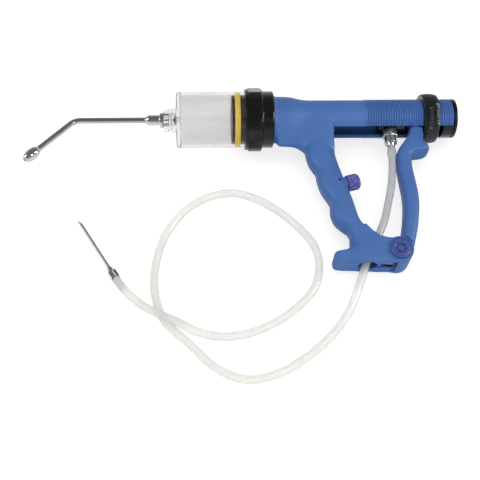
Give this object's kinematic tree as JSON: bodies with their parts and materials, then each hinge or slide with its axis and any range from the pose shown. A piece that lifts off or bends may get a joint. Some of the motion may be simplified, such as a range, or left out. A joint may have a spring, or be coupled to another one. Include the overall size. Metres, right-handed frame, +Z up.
{
  "type": "livestock drencher",
  "caption": "Pistol-grip livestock drencher: a squeezed lever drives a piston in a clear barrel, drawing through a hose and needle and dosing through a hooked nozzle.",
  "frame": {"origin": "on the surface that the gun lies on, under the middle of the gun without its hose", "axes": "+Z up, +X towards the rear of the gun, so the nozzle points to -X and the grip to -Y"},
  "size_m": [0.3404, 0.2392, 0.051],
  "materials": {
    "blue_plastic": "satin moulded blue plastic",
    "purple_plastic": "satin moulded violet plastic",
    "black_plastic": "glossy moulded black plastic",
    "clear_plastic": "clear plastic, slightly frosted",
    "black_rubber": "matte black rubber",
    "yellow_rubber": "matte yellow rubber",
    "amber_plastic": "dark amber plastic",
    "chrome": "polished chrome plate",
    "steel": "plain turned steel",
    "clear_hose": "milky flexible hose"
  },
  "bodies": {
    "gun": {"gun_body": "blue_plastic", "barrel": "clear_plastic", "barrel_nut": "black_plastic", "barrel_gasket": "black_rubber", "nozzle_hub": "chrome", "nozzle_seal": "black_rubber", "nozzle_tube": "chrome", "nozzle_tip": "chrome", "rod_bush": "black_plastic", "pivot_bolt": "purple_plastic", "pivot_cap": "purple_plastic", "return_spring": "steel", "stop_pin": "steel", "end_cap": "black_plastic", "feed_hose": "clear_hose", "needle_hub": "steel", "bottle_needle": "steel"},
    "plunger": {"piston": "amber_plastic", "piston_ring": "yellow_rubber", "valve_cage": "black_plastic", "piston_rod": "steel", "crosshead": "black_plastic", "inlet_fitting": "steel", "fitting_washer": "black_rubber", "feed_hose_upper": "clear_hose"},
    "lever": {"lever": "blue_plastic", "drive_pin": "steel"},
    "dose_nut": {"dose_nut": "black_plastic"},
    "stop_knob": {"stop_knob": "purple_plastic"},
    "outlet_valve": {"outlet_valve": "black_rubber"},
    "inlet_valve": {"inlet_valve": "black_rubber"}
  },
  "joints": [
    {"name": "lever_squeeze", "type": "hinge", "parent": "gun", "child": "lever", "pos_m": [0.10934, -0.06834, 0.01283], "axis": [0.0399, -0.0708, 0.9967], "range_deg": [0, 17.5], "stiffness_Nm_per_rad": 1, "springref_deg": -28.65, "deforming": ["return_spring"]},
    {"name": "plunger_slide", "type": "slide", "parent": "gun", "child": "plunger", "axis": [-0.9992, 0, 0.04], "range_m": [0, 0.0373], "deforming": ["feed_hose_upper"]},
    {"name": "dose_nut_travel", "type": "slide", "parent": "gun", "child": "dose_nut", "axis": [0.9992, 0, -0.04], "range_m": [0, 0.0116]},
    {"name": "stop_knob_travel", "type": "slide", "parent": "gun", "child": "stop_knob", "axis": [0.9681, 0.2498, -0.021], "range_m": [0, 0.008]},
    {"name": "outlet_valve_lift", "type": "slide", "parent": "gun", "child": "outlet_valve", "axis": [-0.9992, 0, 0.04], "range_m": [0, 0.0012]},
    {"name": "inlet_valve_lift", "type": "slide", "parent": "plunger", "child": "inlet_valve", "axis": [-0.9992, 0, 0.04], "range_m": [0, 0.0012]}
  ],
  "couplings": [
    {"joint": "plunger_slide", "follows": "lever_squeeze", "m_per_rad": 0.12201}
  ]
}
